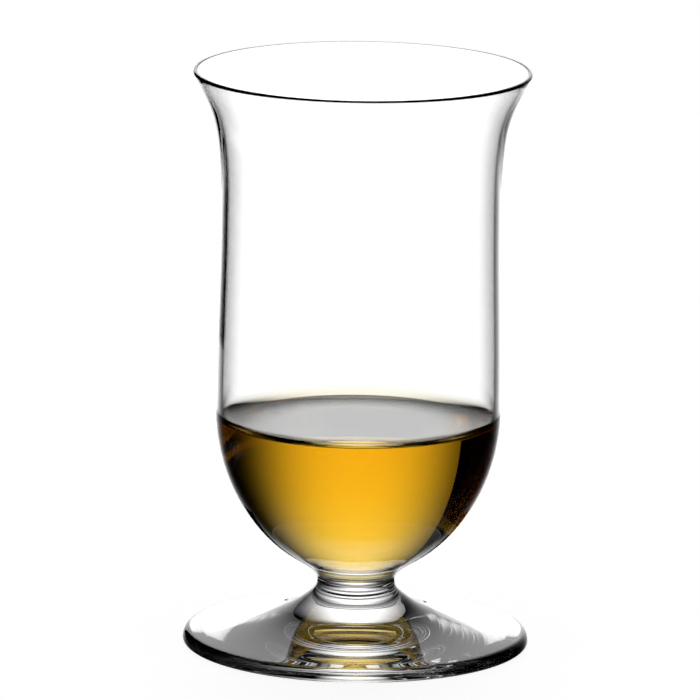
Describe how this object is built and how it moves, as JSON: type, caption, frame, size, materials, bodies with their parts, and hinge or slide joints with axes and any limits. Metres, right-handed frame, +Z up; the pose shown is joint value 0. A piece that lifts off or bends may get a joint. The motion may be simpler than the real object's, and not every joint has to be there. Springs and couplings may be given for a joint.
{
  "type": "whisky tasting glass",
  "caption": "Short-stemmed tasting glass with a round-bottomed cylindrical bowl, a flared lip, a waisted stem and a round foot, holding a measure of whisky.",
  "frame": {"origin": "centre of the foot's rest ring, on the table", "axes": "+Z up along the axis that every piece is turned about; X and Y in the table's plane"},
  "size_m": [0.0686, 0.0686, 0.115],
  "materials": {
    "foot_glass": "clear pressed glass, fire-polished",
    "stem_glass": "clear solid glass, fire-polished",
    "bowl_glass": "thin clear blown glass with a melted rim",
    "whisky": "clear amber liquid"
  },
  "bodies": {
    "root": {"foot": "foot_glass", "stem": "stem_glass", "bowl": "bowl_glass", "whisky": "whisky"}
  },
  "joints": []
}
